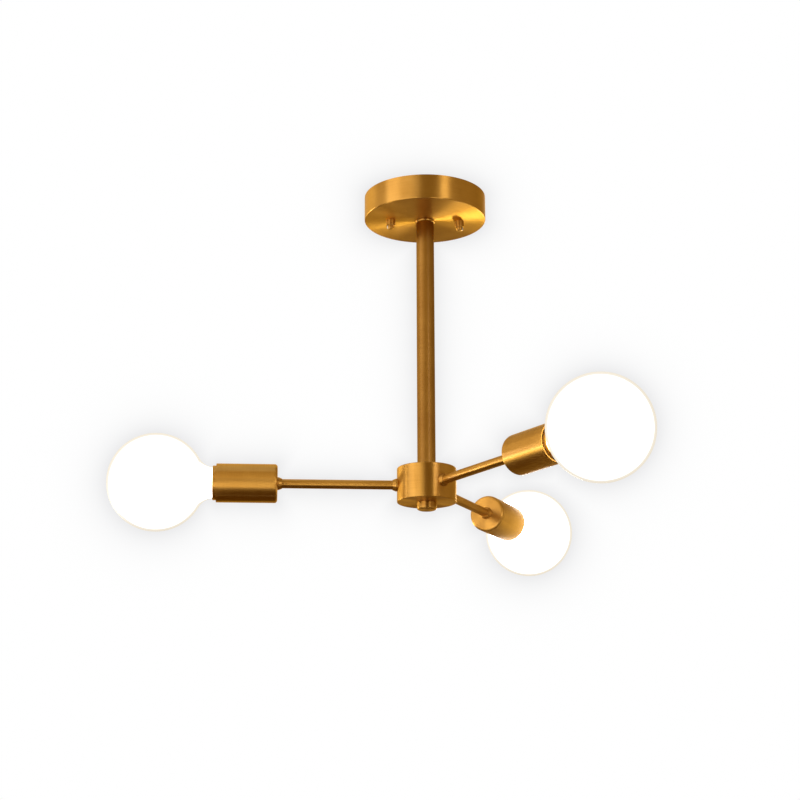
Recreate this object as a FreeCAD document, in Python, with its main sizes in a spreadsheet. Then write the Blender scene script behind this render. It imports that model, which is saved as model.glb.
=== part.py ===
import FreeCAD, Part
import Sketcher
import math
import os
from types import SimpleNamespace

from FreeCAD import Placement, Rotation, Vector

# A semi flush ceiling light with three bare globe bulbs, in millimetres.
# The origin lies on the ceiling plane, on the axis of the down rod. +Z points up, into the ceiling.
# The left arm lies along -X. The other two follow at equal turns about the rod.

SIZES = {
    # the ceiling cup that hides the wiring, open at the top
    "canopy_radius": 61.5,
    "canopy_height": 25,
    "canopy_wall": 1,
    "canopy_edge": 1.2,
    # the steel strap behind it, which two screws hold to a ceiling box
    "strap_end_gap": 5.5,
    "strap_width": 22,
    "strap_thickness": 1.6,
    "strap_drop": 5,
    "strap_step_beyond_stud": 5.6,
    "strap_eye_radius": 6,
    "slot_beyond_step": 3.85,
    "slot_length": 7,
    "slot_width": 4.6,
    # the two threaded studs that the canopy hangs on
    "stud_reach": 35,
    "stud_radius": 2,
    "stud_head_radius": 3.8,
    "stud_head_height": 2.2,
    "stud_showing": 8.8,
    "small_nut_flats": 7,
    "small_nut_height": 3.2,
    "spacer_radius": 4.75,
    "spacer_height": 6,
    "spacer_edge": 0.5,
    "cap_nut_radius": 3.25,
    "cap_nut_height": 4,
    "cap_nut_crown": 0.8,
    "cap_nut_dome": 2.4,
    # the earth screw under the strap
    "earth_reach": 16,
    "earth_length": 7,
    "earth_head_radius": 3.6,
    "earth_head_height": 2.4,
    "driver_slot": 1,
    # the terminal block under the strap
    "terminal_off_stud": 7,
    "terminal_length": 16,
    "terminal_width": 18,
    "terminal_height": 9,
    "terminal_pitch": 6,
    "terminal_screw_radius": 1.6,
    "terminal_screw_depth": 4,
    # the down rod, a tube with a thick threaded end brazed in at the top and at the bottom
    "rod_collar_radius": 10,
    "rod_collar_height": 2.5,
    "rod_collar_edge": 1.1,
    "rod_radius": 9,
    "rod_wall": 1,
    "rod_length": 256.5,
    "rod_end": 12,
    # the hollow threaded nipples that join canopy, rod and hub, and their nuts
    "nipple_radius": 5,
    "nipple_wall": 1.2,
    "nipple_in_canopy": 6,
    "nipple_in_rod": 9,
    "nipple_in_finial": 4.5,
    "nipple_window_top": 4.6,
    "nipple_window_height": 11.5,
    "nipple_window_width": 5,
    "big_nut_flats": 14,
    "big_nut_height": 3,
    # the hub, a drum that is open below, its cover and the finial that holds the cover up
    "hub_radius": 29,
    "hub_height": 31.2,
    "hub_wall": 1.5,
    "hub_edge": 1.2,
    "cover_rim": 2.8,
    "cover_wall": 1.2,
    "cover_edge": 0.7,
    "cover_lip_height": 2.5,
    "cover_lip_wall": 1.5,
    "finial_radius": 9.6,
    "finial_height": 7.5,
    "finial_edge": 2.2,
    "finial_rim": 0.5,
    "finial_floor": 2,
    # the connector in the hub where the lead from the rod meets the leads of the arms
    "splice_length": 13,
    "splice_width": 14,
    "splice_height": 9,
    "splice_below_arm": 2,
    "splice_screw_radius": 1.3,
    "splice_screw_depth": 2.5,
    "splice_screw_reach": 4.5,
    # the arms, their turned end collars and the nuts that hold them
    "arm_below_hub_top": 17,
    "arm_radius": 4.5,
    "arm_length": 116,
    "arm_bore": 3,
    "arm_thread_radius": 4,
    "arm_thread_in_hub": 8,
    "arm_thread_in_cup": 13,
    "arm_nut_flats": 13,
    "arm_nut_height": 3,
    "collar_base": 6.3,
    "collar_tip": 4.95,
    "collar_length": 4.4,
    "collar_band": 1.1,
    "collar_edge": 0.7,
    # the brass cup at the end of an arm and the lampholder in it
    "cup_radius": 18.9,
    "cup_length": 59,
    "cup_wall": 1.1,
    "cup_edge": 2.7,
    "holder_radius": 16.5,
    "holder_length": 49.4,
    "holder_floor": 19.4,
    "holder_socket": 10,
    "holder_nose_radius": 15.7,
    "holder_nose_length": 4.5,
    "shell_radius": 13.7,
    "shell_wall": 0.4,
    "shell_above_floor": 4.5,
    "shell_length": 25,
    "contact_radius": 4,
    "contact_plate": 0.8,
    "contact_button": 2,
    "contact_height": 2.8,
    "ring_radius": 16.8,
    "ring_length": 13.5,
    "ring_lip": 0.45,
    # the globe bulb and its screw cap
    "bulb_radius": 47.5,
    "bulb_wall": 1,
    "neck_radius": 15.3,
    "neck_length": 2.75,
    "neck_blend": 16,
    "neck_foot_radius": 13,
    "neck_foot_length": 5,
    "neck_plug_length": 9,
    "cap_radius": 13.05,
    "cap_wall": 0.4,
    "cap_length": 22,
    "cap_plain_end": 2.2,
    "thread_pitch": 3.629,
    "thread_depth": 0.85,
    "tip_radius": 4.8,
    "tip_height": 1.1,
    "tip_edge": 0.7,
    "insulator_height": 4.4,
    "insulator_plug": 3,
    # the leads inside the rod and the arms
    "rod_lead_radius": 2,
    "arm_lead_radius": 1.5,
    # clearances: a close fit, free play between pieces that pass each other, and the bulb's seat
    "fit_gap": 0.05,
    "free_gap": 0.35,
    "contact_gap": 0.2,
}

ARMS = ("left", "front", "back")
FIRST_BEARING = 180
THREAD_TURNS = 5
HALF_TURN = 180
FULL_TURN = 360
X, Y, Z = Vector(1, 0, 0), Vector(0, 1, 0), Vector(0, 0, 1)

doc = FreeCAD.newDocument("semi_flush_ceiling_light")
nodes = {}


class Size:
    """A number that keeps the sheet formula it comes from."""

    def __init__(self, formula, value):
        self.formula = formula
        self.value = value

    def joined(self, sign, other, value):
        return Size(f"({self.formula} {sign} {formula_of(other)})", value)

    def __add__(self, other):
        return self.joined("+", other, self.value + value_of(other))

    def __sub__(self, other):
        return self.joined("-", other, self.value - value_of(other))

    def __mul__(self, other):
        return self.joined("*", other, self.value * value_of(other))

    def __truediv__(self, other):
        return self.joined("/", other, self.value / value_of(other))

    def __neg__(self):
        return self * -1

    def root(self):
        return Size(f"sqrt({self.formula})", math.sqrt(self.value))


def value_of(size):
    return size.value if isinstance(size, Size) else size


def formula_of(size):
    return size.formula if isinstance(size, Size) else f"({size})"


def filled_sheet():
    """Writes the driving sizes into the sheet, one row each, and returns them by name."""
    sheet = doc.addObject("Spreadsheet::Sheet", "Sizes")
    for row, (name, value) in enumerate(SIZES.items(), 1):
        sheet.set(f"A{row}", name)
        sheet.set(f"B{row}", str(value))
        sheet.setAlias(f"B{row}", name)
    doc.recompute()
    return SimpleNamespace(**{name: Size(f"Sizes.{name}", float(sheet.get(name))) for name in SIZES})


def bind(thing, place, size):
    """Sets a property and ties it to the sheet."""
    thing.setExpression(place, formula_of(size))


def new_body(name):
    body = doc.addObject("PartDesign::Body", name)
    body.Label = name
    return body


def sketch_on(body, role):
    """A sketch on one of the body's own origin planes."""
    plane = next(feature for feature in body.Origin.OriginFeatures if feature.Role == role)
    sketch = body.newObject("Sketcher::SketchObject", f"{body.Name}_sketch")
    sketch.AttachmentSupport = (plane, [""])
    sketch.MapMode = "FlatFace"
    return sketch


def hold(sketch, curve, end, across, up):
    """Holds one point of a sketch at its distances from the origin, or on an axis where one is 0."""
    for kind, distance, axis in (("DistanceX", across, -2), ("DistanceY", up, -1)):
        if isinstance(distance, Size):
            held = Sketcher.Constraint(kind, -1, 1, curve, end, distance.value)
            bind(sketch, f"Constraints[{sketch.addConstraint(held)}]", distance)
        else:
            sketch.addConstraint(Sketcher.Constraint("PointOnObject", curve, end, axis))


def outline(sketch, corners):
    """Closes straight lines through the corners."""
    first = sketch.GeometryCount
    spots = [Vector(value_of(across), value_of(up), 0) for across, up in corners]
    sketch.addGeometry([Part.LineSegment(a, b) for a, b in zip(spots, spots[1:] + spots[:1])])
    for step, (across, up) in enumerate(corners):
        following = first + (step + 1) % len(corners)
        sketch.addConstraint(Sketcher.Constraint("Coincident", first + step, 2, following, 1))
        hold(sketch, first + step, 1, across, up)


def box_outline(sketch, low, high):
    """A rectangle between two opposite corners."""
    outline(sketch, [(low[0], low[1]), (high[0], low[1]), (high[0], high[1]), (low[0], high[1])])


def circle(sketch, across, up, radius):
    spot = Vector(value_of(across), value_of(up), 0)
    ring = sketch.addGeometry(Part.Circle(spot, Z, radius.value))
    hold(sketch, ring, 3, across, up)
    bind(sketch, f"Constraints[{sketch.addConstraint(Sketcher.Constraint('Radius', ring, radius.value))}]", radius)


def slot(sketch, centre, length, width):
    """A slot with round ends along the sketch's first axis."""
    reach = (length - width) / 2
    radius = width / 2
    ends = []
    for across, start in ((centre + reach, -HALF_TURN / 2), (centre - reach, HALF_TURN / 2)):
        arc = Part.ArcOfCircle(
            Part.Circle(Vector(across.value, 0, 0), Z, radius.value),
            math.radians(start),
            math.radians(start + HALF_TURN),
        )
        ends.append(sketch.addGeometry(arc))
        hold(sketch, ends[-1], 3, across, 0)
    sides = []
    for up in (radius, -radius):
        a, b = (Vector(x.value, up.value, 0) for x in (centre - reach, centre + reach))
        sides.append(sketch.addGeometry(Part.LineSegment(a, b)))
    right, left = ends
    top, bottom = sides
    joins = ((top, 2, right, 2), (bottom, 2, right, 1), (top, 1, left, 1), (bottom, 1, left, 2))
    for side, side_end, arc, arc_end in joins:
        sketch.addConstraint(Sketcher.Constraint("Tangent", side, side_end, arc, arc_end))
    sketch.addConstraint(Sketcher.Constraint("Equal", right, left))
    held = Sketcher.Constraint("Radius", right, radius.value)
    bind(sketch, f"Constraints[{sketch.addConstraint(held)}]", radius)


def turn(body, corners, axis):
    """Turns an outline on the body's XZ plane about one of that sketch's axes."""
    sketch = sketch_on(body, "XZ_Plane")
    outline(sketch, corners)
    lathe = body.newObject("PartDesign::Revolution", f"{body.Name}_turn")
    lathe.Profile = sketch
    lathe.ReferenceAxis = (sketch, [axis])
    lathe.Angle = FULL_TURN
    return body


def turned(name, corners):
    """A body turned about the rod's axis, from corners of (radius, height)."""
    return turn(new_body(name), corners, "V_Axis")


def turned_on_arm(name, side, corners):
    """A body turned about an arm's axis, from corners of (distance from the rod's axis, radius)."""
    body = turn(new_body(name), corners, "H_Axis")
    set_on_arm(body, side)
    return body


def set_on_arm(thing, side):
    """Turns a piece that was made along +X to an arm's bearing and lowers it to the arm's height."""
    thing.Placement = Placement(Vector(0, 0, arm_height.value), Rotation(Z, bearing(side)))
    bind(thing, "Placement.Base.z", arm_height)


def bearing(side):
    return FIRST_BEARING + ARMS.index(side) * FULL_TURN / len(ARMS)


def padded(body, sketch, length, both_ways=False):
    pad = body.newObject("PartDesign::Pad", f"{body.Name}_pad")
    pad.Profile = sketch
    pad.SideType = "Symmetric" if both_ways else "One side"
    bind(pad, "Length", length)
    return pad


def cut(body, sketch, depth=None, reverse=False):
    """Pockets a sketch to a depth, or right through both ways, and checks that it removed something."""
    doc.recompute()
    before = body.Tip.Shape.Volume
    pocket = body.newObject("PartDesign::Pocket", f"{body.Name}_cut")
    pocket.Profile = sketch
    pocket.Reversed = reverse
    if depth is None:
        pocket.Type = "ThroughAll"
        pocket.SideType = "Symmetric"
    else:
        bind(pocket, "Length", depth)
    doc.recompute()
    if not pocket.Shape.Volume < before:
        raise ValueError(f"the cut in {body.Label} removed nothing")
    return pocket


def rounded(body, axis, radius, *rims):
    """Rounds the circular edges at the given (place along the axis, radius)."""
    doc.recompute()
    base = body.Tip
    wanted = [(value_of(along), value_of(size)) for along, size in rims]
    names = []
    for number, edge in enumerate(base.Shape.Edges, 1):
        if not edge.Degenerated and isinstance(edge.Curve, Part.Circle):
            spot = (edge.Curve.Center.dot(axis), edge.Curve.Radius)
            if any(math.dist(spot, rim) < 1e-3 for rim in wanted):
                names.append(f"Edge{number}")
    if len(names) < len(rims):
        raise ValueError(f"{body.Label} has no edge to round")
    fillet = body.newObject("PartDesign::Fillet", f"{body.Name}_round")
    fillet.Base = (base, names)
    bind(fillet, "Radius", radius)


def node(thing, name=None):
    """Registers a finished piece under its own name."""
    thing.Label = name or thing.Label
    nodes[thing.Label] = thing


def group(name, pieces):
    """Identical pieces that share one node as separate solids."""
    together = doc.addObject("Part::Compound", name)
    together.Links = pieces
    node(together, name)


def hex_nut(name, flats, height, bore):
    """A plain hexagon nut that stands on z = 0."""
    block = doc.addObject("Part::Prism", f"{name}_block")
    block.Polygon = 6
    bind(block, "Circumradius", flats / math.sqrt(3))
    bind(block, "Height", height)
    hole = doc.addObject("Part::Cylinder", f"{name}_hole")
    bind(hole, "Radius", bore)
    bind(hole, "Height", height)
    nut = doc.addObject("Part::Cut", name)
    nut.Base = block
    nut.Tool = hole
    return nut


def place(thing, across, height):
    """Puts a piece that was made on the rod's axis at a distance along X and a height."""
    bind(thing, "Placement.Base.x", across)
    bind(thing, "Placement.Base.z", height)


def at_arm_height(across, deep, rise):
    """A point that is given by its rise above the arms' axes."""
    return Vector(across, deep, arm_height.value + rise)


def in_hub(across, deep, rise):
    """A point in the drum: two shares of its inner radius, and the rise above the arms' axes."""
    return at_arm_height(across * hub_inner.value, deep * hub_inner.value, rise)


def along_arm(side, distance):
    """A point on an arm's axis."""
    return Rotation(Z, bearing(side)).multVec(Vector(value_of(distance), 0, 0)) + at_arm_height(0, 0, 0)


def cord(name, points, radius):
    """A round lead along straight runs joined by arcs as large as the runs allow."""
    runs = [b - a for a, b in zip(points, points[1:])]
    edges = []
    radii = []
    start = points[0]
    for corner, before, after in zip(points[1:], runs, runs[1:]):
        half = before.getAngle(after) / 2
        back = 0.45 * min(before.Length, after.Length)
        radii.append(round(back / math.tan(half), 1))
        into, out = Vector(before).normalize(), Vector(after).normalize()
        a, b = corner - into * back, corner + out * back
        inward = (out - into).normalize()
        middle = corner + inward * back * math.tan(half / 2)
        edges.append(Part.LineSegment(start, a).toShape())
        edges.append(Part.Arc(a, middle, b).toShape())
        start = b
    edges.append(Part.LineSegment(start, points[-1]).toShape())
    path = Part.Wire(edges)
    section = Part.Wire(Part.Circle(points[0], runs[0], radius.value).toShape())
    tube = path.makePipeShell([section], True, False)
    ideal = math.pi * radius.value**2 * path.Length
    print(name, "radii", radii, "length", round(path.Length, 1), "volume ratio", round(tube.Volume / ideal, 4))
    lead = doc.addObject("Part::Feature", name)
    lead.Shape = tube
    node(lead, name)


s = filled_sheet()

# heights along the rod, from the ceiling down
canopy_floor = -s.canopy_height + s.canopy_wall
canopy_bottom = -s.canopy_height
strap_top = -s.strap_drop
strap_bottom = strap_top - s.strap_thickness
stud_tip = canopy_bottom - s.stud_showing
spacer_bottom = canopy_bottom - s.spacer_height
rod_top = canopy_bottom - s.rod_collar_height
hub_top = rod_top - s.rod_length
hub_ceiling = hub_top - s.hub_wall
hub_bottom = hub_top - s.hub_height
cover_bottom = hub_bottom - s.cover_rim
finial_bottom = cover_bottom - s.finial_height
arm_height = hub_top - s.arm_below_hub_top
splice_top = arm_height - s.splice_below_arm

# radii that follow from what passes through
nipple_bore = s.nipple_radius - s.nipple_wall
nipple_hole = s.nipple_radius + s.fit_gap
arm_hole = s.arm_thread_radius + s.fit_gap
stud_hole = s.stud_radius + s.fit_gap
hub_inner = s.hub_radius - s.hub_wall

# distances along the strap, from the rod's axis
step_reach = s.stud_reach + s.strap_step_beyond_stud
slot_reach = step_reach + s.slot_beyond_step
terminal_far = s.terminal_off_stud - s.stud_reach
terminal_near = terminal_far + s.terminal_length

# distances along an arm, from the rod's axis
splice_centre = (s.nipple_radius + hub_inner) / 2
splice_near = splice_centre - s.splice_length / 2
cup_back = s.hub_radius + s.arm_length
cup_front = cup_back + s.cup_length
holder_back = cup_back + s.cup_wall + s.arm_nut_height
holder_front = holder_back + s.holder_length
lamp_floor = holder_back + s.holder_floor
bulb_tip_end = lamp_floor + s.contact_height + s.contact_gap
cap_back = bulb_tip_end + s.tip_height + s.insulator_height
cap_front = cap_back + s.cap_length
neck_foot = cap_front + s.neck_foot_length
blend_from_axis = s.neck_radius + s.neck_blend
blend_from_centre = s.bulb_radius + s.neck_blend
blend_end = neck_foot + s.neck_length
bulb_centre = blend_end + (blend_from_centre * blend_from_centre - blend_from_axis * blend_from_axis).root()
cap_bore = s.cap_radius - s.thread_depth - s.cap_wall


def make_strap():
    """A pressed strap: its middle is dropped below the ceiling, and its ends bear on the box."""
    body = new_body("crossbar")
    half, step, thick = s.canopy_radius - s.strap_end_gap, step_reach, s.strap_thickness
    flange = sketch_on(body, "XZ_Plane")
    right = [
        (step, strap_bottom),
        (step, -thick),
        (half, -thick),
        (half, 0),
        (step - thick, 0),
        (step - thick, strap_top),
    ]
    outline(flange, right + [(-across, up) for across, up in reversed(right)])
    padded(body, flange, s.strap_width, both_ways=True)
    slots = sketch_on(body, "XY_Plane")
    slot(slots, slot_reach, s.slot_length, s.slot_width)
    slot(slots, -slot_reach, s.slot_length, s.slot_width)
    circle(slots, 0, 0, s.strap_eye_radius)
    for reach in (s.stud_reach, -s.stud_reach, s.earth_reach):
        circle(slots, reach, 0, stud_hole)
    cut(body, slots)
    node(body)


def make_studs():
    """Two long screws point down through the strap, locked by a nut under it."""
    studs, nuts = [], []
    for side, reach in (("left", -s.stud_reach), ("right", s.stud_reach)):
        head_top = strap_top + s.stud_head_height
        stud = turned(
            f"stud_{side}",
            [
                (0, stud_tip),
                (s.stud_radius, stud_tip),
                (s.stud_radius, strap_top),
                (s.stud_head_radius, strap_top),
                (s.stud_head_radius, head_top),
                (0, head_top),
            ],
        )
        bind(stud, "Placement.Base.x", reach)
        studs.append(stud)
        nut = hex_nut(f"stud_nut_{side}", s.small_nut_flats, s.small_nut_height, stud_hole)
        place(nut, reach, strap_bottom - s.small_nut_height)
        nuts.append(nut)
    group("mounting_studs", studs)
    group("stud_locknuts", nuts)


def make_earth_screw():
    """The earth wire's screw, in a tapped hole of the strap, with a slotted head below."""
    body = new_body("ground_screw")
    head = strap_bottom - s.earth_head_height
    shank = head + s.earth_length
    turn(
        body,
        [
            (0, head),
            (s.earth_head_radius, head),
            (s.earth_head_radius, strap_bottom),
            (s.stud_radius, strap_bottom),
            (s.stud_radius, shank),
            (0, shank),
        ],
        "V_Axis",
    )
    driver = sketch_on(body, "XZ_Plane")
    box_outline(driver, (-s.driver_slot / 2, head), (s.driver_slot / 2, head + s.driver_slot))
    cut(body, driver)
    bind(body, "Placement.Base.x", s.earth_reach)
    node(body)


def make_terminal_block():
    """A three pole block under the strap, with a screw well at each end of each pole."""
    body = new_body("terminal_block")
    plan = sketch_on(body, "XZ_Plane")
    box_outline(plan, (terminal_far, strap_bottom - s.terminal_height), (terminal_near, strap_bottom))
    padded(body, plan, s.terminal_width, both_ways=True)
    screws = sketch_on(body, "XY_Plane")
    for across in (terminal_near - s.terminal_length / 4, terminal_far + s.terminal_length / 4):
        for up in (s.terminal_pitch, 0, -s.terminal_pitch):
            circle(screws, across, up, s.terminal_screw_radius)
    bottom = strap_bottom - s.terminal_height
    bind(screws, "AttachmentOffset.Base.z", bottom)
    cut(body, screws, s.terminal_screw_depth, reverse=True)
    node(body)


def make_canopy():
    """A shallow spun cup, with a hole for the nipple and one for each stud."""
    wall, radius = s.canopy_wall, s.canopy_radius
    body = turned(
        "canopy",
        [
            (nipple_hole, canopy_bottom),
            (radius, canopy_bottom),
            (radius, 0),
            (radius - wall, 0),
            (radius - wall, canopy_floor),
            (nipple_hole, canopy_floor),
        ],
    )
    rounded(body, Z, s.canopy_edge, (canopy_bottom, radius))
    holes = sketch_on(body, "XY_Plane")
    for reach in (s.stud_reach, -s.stud_reach):
        circle(holes, reach, 0, s.stud_radius + s.free_gap)
    cut(body, holes)
    node(body)


def make_canopy_nuts():
    """On each stud a plain barrel bears on the canopy, and a small domed cap nut holds it up."""
    loose_hole = s.stud_radius + s.free_gap
    crown = spacer_bottom - s.cap_nut_height
    for side, reach in (("left", -s.stud_reach), ("right", s.stud_reach)):
        barrel = turned(
            f"canopy_barrel_{side}",
            [
                (loose_hole, spacer_bottom),
                (s.spacer_radius, spacer_bottom),
                (s.spacer_radius, canopy_bottom),
                (loose_hole, canopy_bottom),
            ],
        )
        rounded(barrel, Z, s.spacer_edge, (spacer_bottom, s.spacer_radius))
        bind(barrel, "Placement.Base.x", reach)
        node(barrel)
        cap = turned(
            f"canopy_cap_nut_{side}",
            [
                (0, crown),
                (s.cap_nut_radius, crown),
                (s.cap_nut_radius, spacer_bottom),
                (stud_hole, spacer_bottom),
                (stud_hole, crown + s.cap_nut_crown),
                (0, crown + s.cap_nut_crown),
            ],
        )
        rounded(cap, Z, s.cap_nut_dome, (crown, s.cap_nut_radius))
        bind(cap, "Placement.Base.x", reach)
        node(cap)


def make_rod():
    """The rod hangs from the canopy by a nipple and a nut, with a rounded collar between them."""
    collar = turned(
        "rod_collar",
        [
            (nipple_hole, rod_top),
            (s.rod_collar_radius, rod_top),
            (s.rod_collar_radius, canopy_bottom),
            (nipple_hole, canopy_bottom),
        ],
    )
    rims = ((rod_top, s.rod_collar_radius), (canopy_bottom, s.rod_collar_radius))
    rounded(collar, Z, s.rod_collar_edge, *rims)
    node(collar)
    inner = s.rod_radius - s.rod_wall
    rod = turned(
        "down_rod",
        [
            (nipple_hole, rod_top),
            (s.rod_radius, rod_top),
            (s.rod_radius, hub_top),
            (nipple_hole, hub_top),
            (nipple_hole, hub_top + s.rod_end),
            (inner, hub_top + s.rod_end),
            (inner, rod_top - s.rod_end),
            (nipple_hole, rod_top - s.rod_end),
        ],
    )
    node(rod)


def make_nipples():
    """Hollow threaded tubes: a short one at the canopy, and a long one through the hub."""
    top = tube("rod_nipple", canopy_floor + s.nipple_in_canopy, rod_top - s.nipple_in_rod)
    node(top)
    long = tube("hub_nipple", hub_top + s.nipple_in_rod, cover_bottom - s.nipple_in_finial)
    window = sketch_on(long, "YZ_Plane")
    upper = hub_top - s.nipple_window_top
    half = s.nipple_window_width / 2
    box_outline(window, (-half, upper - s.nipple_window_height), (half, upper))
    cut(long, window, s.nipple_radius * 2, reverse=True)
    node(long)
    nuts = []
    for name, seat in (("canopy_nut", canopy_floor), ("hub_nut", hub_ceiling - s.big_nut_height)):
        nut = hex_nut(name, s.big_nut_flats, s.big_nut_height, nipple_hole)
        bind(nut, "Placement.Base.z", seat)
        nuts.append(nut)
    group("rod_locknuts", nuts)


def tube(name, upper, lower):
    bore = nipple_bore
    return turned(name, [(bore, lower), (s.nipple_radius, lower), (s.nipple_radius, upper), (bore, upper)])


def make_hub():
    """A drum with one hole for the nipple above and one hole for each arm in its side."""
    wall, radius = s.hub_wall, s.hub_radius
    body = turned(
        "hub_body",
        [
            (nipple_hole, hub_top),
            (radius, hub_top),
            (radius, hub_bottom),
            (radius - wall, hub_bottom),
            (radius - wall, hub_ceiling),
            (nipple_hole, hub_ceiling),
        ],
    )
    rounded(body, Z, s.hub_edge, (hub_top, radius))
    hole = sketch_on(body, "YZ_Plane")
    circle(hole, 0, arm_height, arm_hole)
    first = cut(body, hole, radius * 2)
    spread = body.newObject("PartDesign::PolarPattern", "hub_arm_holes")
    spread.Originals = [first]
    upright = next(axis for axis in body.Origin.OriginFeatures if axis.Role == "Z_Axis")
    spread.Axis = (upright, [""])
    spread.Angle = FULL_TURN
    spread.Occurrences = len(ARMS)
    body.Tip = spread
    node(body)


def make_cover():
    """A pressed cover closes the hub: its rim meets the drum, and its lip stands inside the drum."""
    hole = s.nipple_radius + s.free_gap
    lip = hub_inner - s.free_gap
    floor = cover_bottom + s.cover_wall
    body = turned(
        "hub_cover",
        [
            (hole, cover_bottom),
            (s.hub_radius, cover_bottom),
            (s.hub_radius, hub_bottom),
            (lip, hub_bottom),
            (lip, hub_bottom + s.cover_lip_height),
            (lip - s.cover_lip_wall, hub_bottom + s.cover_lip_height),
            (lip - s.cover_lip_wall, floor),
            (hole, floor),
        ],
    )
    rounded(body, Z, s.cover_edge, (cover_bottom, s.hub_radius))
    node(body)


def make_finial():
    """A turned knob with a blind thread, screwed on the nipple's end."""
    floor = finial_bottom + s.finial_floor
    body = turned(
        "finial",
        [
            (0, finial_bottom),
            (s.finial_radius, finial_bottom),
            (s.finial_radius, cover_bottom),
            (nipple_hole, cover_bottom),
            (nipple_hole, floor),
            (0, floor),
        ],
    )
    rounded(body, Z, s.finial_edge, (finial_bottom, s.finial_radius))
    rounded(body, Z, s.finial_rim, (cover_bottom, s.finial_radius))
    node(body)


def make_splice_block():
    """The small connector that hangs in the hub beside the nipple, with four screw wells on top."""
    body = new_body("splice_block")
    plan = sketch_on(body, "XZ_Plane")
    far = splice_near + s.splice_length
    box_outline(plan, (splice_near, splice_top - s.splice_height), (far, splice_top))
    padded(body, plan, s.splice_width, both_ways=True)
    wells = sketch_on(body, "XY_Plane")
    reach = s.splice_screw_reach
    for across in (splice_centre - reach, splice_centre + reach):
        for up in (reach, -reach):
            circle(wells, across, up, s.splice_screw_radius)
    bind(wells, "AttachmentOffset.Base.z", splice_top)
    cut(body, wells, s.splice_screw_depth)
    node(body)


def make_arm_nuts():
    """One nut inside the hub and one inside the cup hold each arm."""
    nuts = []
    corner = s.arm_nut_flats / math.sqrt(3)
    sag = hub_inner.value - math.sqrt(hub_inner.value**2 - corner.value**2)
    for side in ARMS:
        seats = (("hub", hub_inner - sag - s.arm_nut_height), ("cup", cup_back + s.cup_wall))
        for end, seat in seats:
            nut = hex_nut(f"arm_nut_{side}_{end}", s.arm_nut_flats, s.arm_nut_height, arm_hole)
            face = Rotation(Z, bearing(side)).multiply(Rotation(Y, HALF_TURN / 2))
            nut.Placement = Placement(along_arm(side, seat), face)
            nuts.append(nut)
    group("arm_locknuts", nuts)


def make_arm(side):
    """A tube with a threaded end in the hub and a longer one in the cup."""
    start, end = s.hub_radius - s.arm_thread_in_hub, cup_back + s.arm_thread_in_cup
    thread = s.arm_thread_radius
    body = turned_on_arm(
        f"arm_tube_{side}",
        side,
        [
            (start, s.arm_bore),
            (start, thread),
            (s.hub_radius, thread),
            (s.hub_radius, s.arm_radius),
            (cup_back, s.arm_radius),
            (cup_back, thread),
            (end, thread),
            (end, s.arm_bore),
        ],
    )
    node(body)


def make_collars(side):
    """A turned collar hides each end of the arm. The one at the hub is hollowed to the drum."""
    bore = s.arm_radius + s.fit_gap
    seat = hub_inner
    hub_end = turned_on_arm(
        f"hub_collar_{side}",
        side,
        [
            (seat, bore),
            (seat, s.collar_base),
            (s.hub_radius + s.collar_band, s.collar_base),
            (s.hub_radius + s.collar_length, s.collar_tip),
            (s.hub_radius + s.collar_length, bore),
        ],
    )
    rounded(hub_end, X, s.collar_edge, (s.hub_radius + s.collar_band, s.collar_base))
    drum = sketch_on(hub_end, "XY_Plane")
    circle(drum, 0, 0, s.hub_radius)
    cut(hub_end, drum)
    node(hub_end)
    cup_end = turned_on_arm(
        f"cup_collar_{side}",
        side,
        [
            (cup_back, bore),
            (cup_back, s.collar_base),
            (cup_back - s.collar_band, s.collar_base),
            (cup_back - s.collar_length, s.collar_tip),
            (cup_back - s.collar_length, bore),
        ],
    )
    rounded(cup_end, X, s.collar_edge, (cup_back - s.collar_band, s.collar_base))
    node(cup_end)


def make_cup(side):
    """A drawn cup with a round shoulder, clamped between the arm's end and a nut."""
    wall, radius = s.cup_wall, s.cup_radius
    body = turned_on_arm(
        f"socket_cup_{side}",
        side,
        [
            (cup_back, arm_hole),
            (cup_back, radius),
            (cup_front, radius),
            (cup_front, radius - wall),
            (cup_back + wall, radius - wall),
            (cup_back + wall, arm_hole),
        ],
    )
    rounded(body, X, s.cup_edge, (cup_back, radius))
    rounded(body, X, s.cup_edge - wall, (cup_back + wall, radius - wall))
    node(body)


def make_lampholder(side):
    """A moulded holder on the arm's thread, with a lined well for the bulb's cap."""
    socket_end = holder_back + s.holder_socket
    well = s.shell_radius + s.fit_gap
    step = holder_front - s.holder_nose_length
    holder = turned_on_arm(
        f"lampholder_{side}",
        side,
        [
            (holder_back, arm_hole),
            (holder_back, s.holder_radius),
            (step, s.holder_radius),
            (step, s.holder_nose_radius),
            (holder_front, s.holder_nose_radius),
            (holder_front, well),
            (lamp_floor, well),
            (lamp_floor, 0),
            (socket_end, 0),
            (socket_end, arm_hole),
        ],
    )
    node(holder)
    start = lamp_floor + s.shell_above_floor
    end = start + s.shell_length
    inner = s.shell_radius - s.shell_wall
    shell = turned_on_arm(
        f"screw_shell_{side}",
        side,
        [(start, inner), (start, s.shell_radius), (end, s.shell_radius), (end, inner)],
    )
    node(shell)
    plate, button = lamp_floor + s.contact_plate, lamp_floor + s.contact_height
    contact = turned_on_arm(
        f"centre_contact_{side}",
        side,
        [
            (lamp_floor, 0),
            (lamp_floor, s.contact_radius),
            (plate, s.contact_radius),
            (plate, s.contact_button),
            (button, s.contact_button),
            (button, 0),
        ],
    )
    node(contact)
    bore = s.holder_nose_radius + s.fit_gap
    front = step + s.ring_length
    ring = turned_on_arm(
        f"socket_ring_{side}",
        side,
        [(step, bore), (step, s.ring_radius), (front, s.ring_radius), (front, bore)],
    )
    rounded(ring, X, s.ring_lip, (front, s.ring_radius), (front, bore))
    node(ring)


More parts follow.
